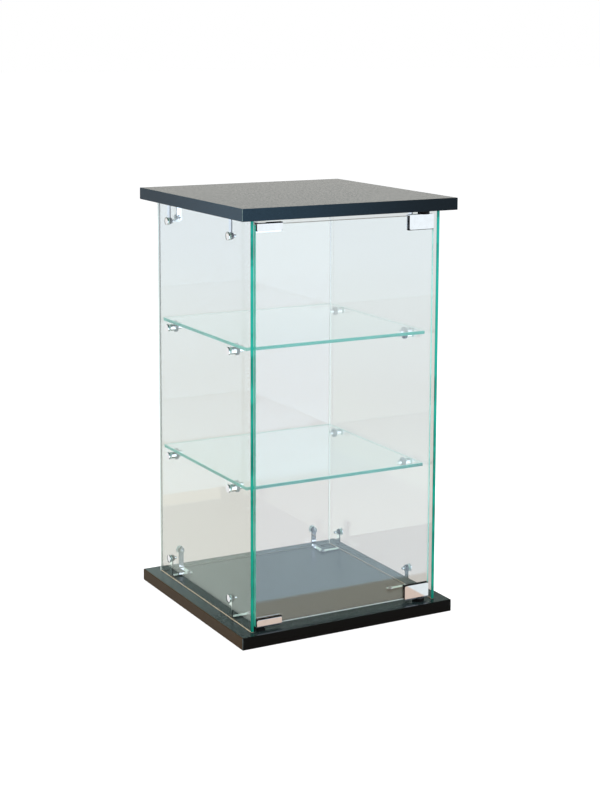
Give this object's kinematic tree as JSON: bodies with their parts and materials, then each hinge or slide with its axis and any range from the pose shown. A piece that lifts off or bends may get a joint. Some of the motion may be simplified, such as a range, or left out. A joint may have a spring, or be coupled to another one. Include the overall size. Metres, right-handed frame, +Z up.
{
  "type": "countertop display case",
  "caption": "Tall square glass display case with a pivoting glass door and glass shelves between two dark boards.",
  "frame": {"origin": "bottom centre of the base board, on the surface that it stands on", "axes": "+Z up, door at the front facing -Y, door pivots on the +X side"},
  "size_m": [0.356, 0.356, 0.634],
  "materials": {
    "laminate": "dark slate melamine-faced board, smooth satin",
    "edge_banding": "dark slate plastic edge band, satin",
    "clear_glass": "clear float glass with a green edge, seamed edges",
    "chrome": "polished chrome plate",
    "soft_gasket": "translucent soft plastic",
    "grey_rubber": "grey rubber, satin",
    "zinc_steel": "zinc plated",
    "black_plastic": "moulded black plastic",
    "nickel": "nickel plated",
    "magnetic_rubber": "black magnetic rubber strip"
  },
  "bodies": {
    "cabinet": {"base_board": "laminate", "base_end_bands": "edge_banding", "base_side_bands": "edge_banding", "top_board": "laminate", "top_end_bands": "edge_banding", "top_side_bands": "edge_banding", "left_side_glass": "clear_glass", "right_side_glass": "clear_glass", "back_glass": "clear_glass", "lower_shelf_glass": "clear_glass", "upper_shelf_glass": "clear_glass", "shelf_stud_caps": "chrome", "shelf_stud_gaskets": "soft_gasket", "shelf_stud_barrels": "chrome", "shelf_stud_rings": "grey_rubber", "lower_rear_brackets": "chrome", "lower_front_brackets": "chrome", "upper_rear_brackets": "chrome", "upper_front_brackets": "chrome", "bracket_bolts": "chrome", "bracket_gaskets": "soft_gasket", "bracket_nuts": "chrome", "bracket_wood_screws": "zinc_steel", "lower_pivot_bush": "black_plastic", "upper_pivot_bush": "black_plastic", "lower_catch_case": "black_plastic", "upper_catch_case": "nickel", "catch_magnets": "nickel"},
    "door": {"door_glass": "clear_glass", "lower_hinge_clamp": "chrome", "upper_hinge_clamp": "chrome", "lower_hinge_liner": "black_plastic", "upper_hinge_liner": "black_plastic", "lower_pivot_pin": "zinc_steel", "upper_pivot_pin": "zinc_steel", "lower_pivot_spacer": "black_plastic", "upper_pivot_spacer": "black_plastic", "hinge_grub_screws": "zinc_steel", "lower_strike_clip": "chrome", "upper_strike_clip": "chrome", "lower_strike_liner": "black_plastic", "upper_strike_liner": "black_plastic", "strike_magnet_strips": "magnetic_rubber"}
  },
  "joints": [
    {"name": "door_swing", "type": "hinge", "parent": "cabinet", "child": "door", "pos_m": [0.1317, -0.157, 0.317], "axis": [0, 0, 1], "range_deg": [0, 130]}
  ]
}
